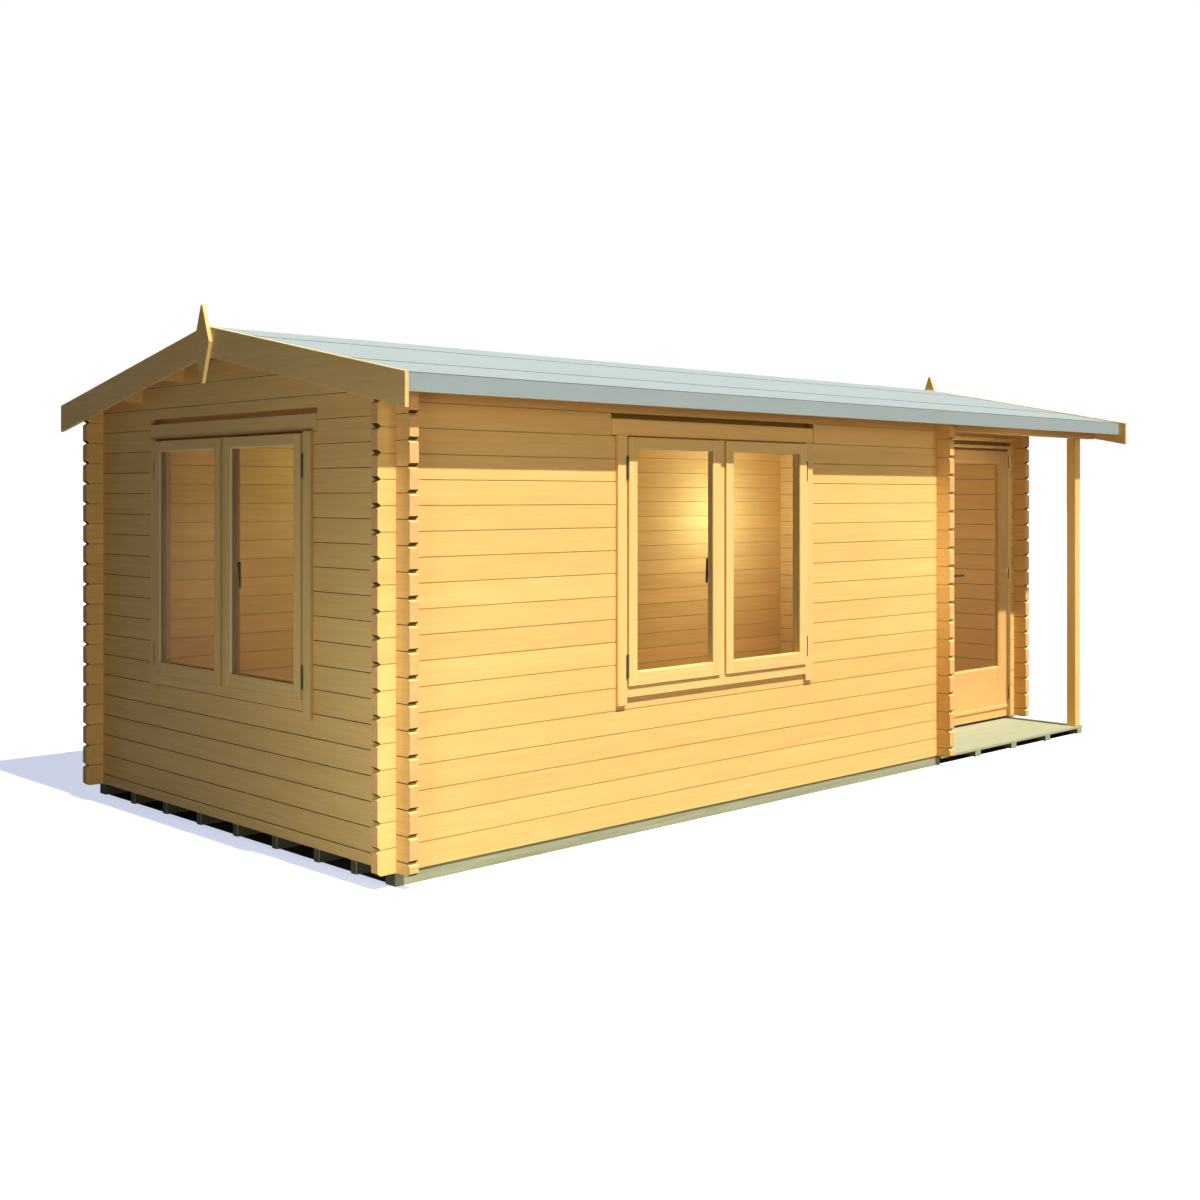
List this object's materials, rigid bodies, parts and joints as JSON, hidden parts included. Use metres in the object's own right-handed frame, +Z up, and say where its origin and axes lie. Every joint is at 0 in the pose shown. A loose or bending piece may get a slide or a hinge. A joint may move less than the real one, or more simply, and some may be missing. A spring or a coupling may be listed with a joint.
{
  "type": "log cabin with corner porch",
  "caption": "Small gabled log cabin with interlocking log walls, a double casement window in the front and one gable, and a recessed corner porch with a glazed double door.",
  "frame": {"origin": "on the ground under the middle of the plan, at the centre of the bounding box's bottom face", "axes": "+X along the ridge from the window gable to the porch end, +Y from the front to the back, +Z up"},
  "size_m": [6.4236, 3.314, 2.6496],
  "materials": {
    "pine": "planed, clear",
    "pine_trim": "planed, clear",
    "roof_board": "planed",
    "floor_board": "planed",
    "treated_bearer": "rough sawn, greenish preservative",
    "treated_deck": "planed, greenish preservative",
    "felt": "mineral grey-green felt",
    "glass": "clear",
    "hinge_steel": "satin",
    "dark_metal": "satin black"
  },
  "bodies": {
    "cabin": {"outer_bearers": "treated_bearer", "inner_bearers": "treated_bearer", "floor": "floor_board", "porch_deck": "treated_deck", "porch_joists": "treated_bearer", "porch_post": "pine", "front_wall": "pine", "front_eaves_beam": "pine", "back_wall": "pine", "left_gable_wall": "pine", "right_gable_wall": "pine", "porch_side_wall": "pine", "door_wall_left": "pine", "door_wall_right": "pine", "door_wall_over": "pine", "purlins": "pine", "roof_boards_front": "roof_board", "roof_boards_back": "roof_board", "roof_felt_front": "felt", "roof_felt_back": "felt", "eaves_boards": "roof_board", "left_barge_boards": "pine_trim", "right_barge_boards": "pine_trim", "finials": "pine_trim", "door_frame": "pine_trim", "door_threshold": "dark_metal", "door_trim": "pine_trim", "door_hinge_pins": "hinge_steel", "front_window_frame": "pine_trim", "front_window_trim": "pine_trim", "front_window_casements": "pine_trim", "front_window_glass": "glass", "front_window_fittings": "hinge_steel", "gable_window_frame": "pine_trim", "gable_window_trim": "pine_trim", "gable_window_casements": "pine_trim", "gable_window_glass": "glass", "gable_window_fittings": "hinge_steel"},
    "left_door": {"left_door_leaf": "pine_trim", "left_door_glass": "glass", "left_door_knuckles": "hinge_steel"},
    "right_door": {"right_door_leaf": "pine_trim", "right_door_glass": "glass", "right_door_knuckles": "hinge_steel", "right_door_levers": "dark_metal"}
  },
  "joints": [
    {"name": "right_door_hinge", "type": "hinge", "parent": "cabin", "child": "right_door", "pos_m": [2.907, -0.883, 1.0603], "axis": [0, 0, 1], "range_deg": [0, 80]},
    {"name": "left_door_hinge", "type": "hinge", "parent": "cabin", "child": "left_door", "pos_m": [1.275, -0.883, 1.0603], "axis": [0, 0, -1], "range_deg": [0, 80]}
  ]
}
